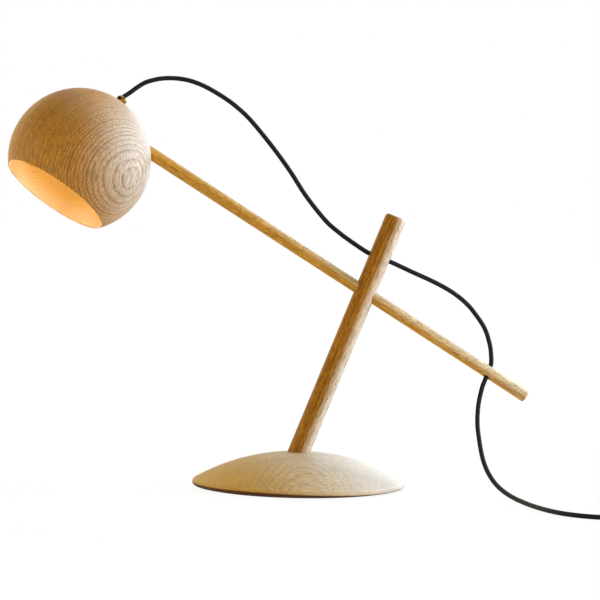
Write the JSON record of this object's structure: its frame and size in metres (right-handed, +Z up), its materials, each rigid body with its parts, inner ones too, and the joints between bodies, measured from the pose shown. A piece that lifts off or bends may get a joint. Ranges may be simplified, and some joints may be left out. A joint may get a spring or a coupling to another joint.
{
  "type": "table lamp",
  "caption": "Turned oak table lamp: dome base, leaning post, an arm that slides and turns through the post, a hollow ball shade and a cord threaded through post and arm.",
  "frame": {"origin": "middle of the felt's underside, on the surface that the lamp stands on", "axes": "+Z up, the shade hangs on the -X side and the arm's free end is on the +X side, +Y points away from the side that the picture shows"},
  "size_m": [0.791, 0.3972, 0.4827],
  "materials": {
    "felt": "felt",
    "steel": "satin",
    "oak": "oiled oak",
    "oak_dark": "oiled oak, darker grain",
    "brass": "satin",
    "nylon": "matt",
    "black_plastic": "matt",
    "rocker_plastic": "satin",
    "soft_black": "soft",
    "porcelain": "unglazed",
    "white_plastic": "matt",
    "opal": "opal, lit",
    "cord": "braided textile over the core",
    "tie": "woven strip"
  },
  "bodies": {
    "stand": {"base_felt": "felt", "base_weight": "steel", "weight_screws": "steel", "base_dome": "oak", "post": "oak_dark", "post_insert": "brass", "post_washer": "steel", "post_bolt": "steel", "lead_lower": "cord", "lead_link": "cord", "lead_coil": "cord", "lead_tail": "cord", "coil_tie": "tie", "switch_base": "black_plastic", "switch_top": "black_plastic", "rocker_pin": "steel", "switch_contacts": "brass", "switch_screws": "steel", "switch_reliefs": "soft_black", "plug_body": "black_plastic", "plug_pins": "steel", "plug_boot": "soft_black"},
    "arm_sleeve": {"arm_bush": "nylon"},
    "arm": {"arm": "oak", "arm_pin": "steel", "shade": "oak", "cord_grip": "brass", "crown_tube": "steel", "crown_washer": "steel", "crown_nut": "brass", "holder_cap": "black_plastic", "holder_core": "porcelain", "holder_sleeve": "brass", "holder_contact": "brass", "holder_body": "black_plastic", "bulb_cap": "brass", "bulb_body": "white_plastic", "bulb_board": "white_plastic", "bulb_globe": "opal", "lead_inner": "cord", "lead_upper": "cord", "lead_middle": "cord"},
    "rocker": {"switch_rocker": "rocker_plastic"}
  },
  "joints": [
    {"name": "arm_roll", "type": "hinge", "parent": "stand", "child": "arm_sleeve", "pos_m": [0.07458, 0, 0.23134], "axis": [0.848, 0, -0.5299], "range_deg": [-45, 45]},
    {"name": "arm_slide", "type": "slide", "parent": "arm_sleeve", "child": "arm", "axis": [0.848, 0, -0.5299], "range_m": [-0.04, 0.03], "deforming": ["lead_upper", "lead_middle", "lead_lower"]},
    {"name": "switch_rock", "type": "hinge", "parent": "stand", "child": "rocker", "pos_m": [0.432, -0.13, 0.014], "axis": [-1, 0, 0], "range_deg": [0, 14]}
  ]
}
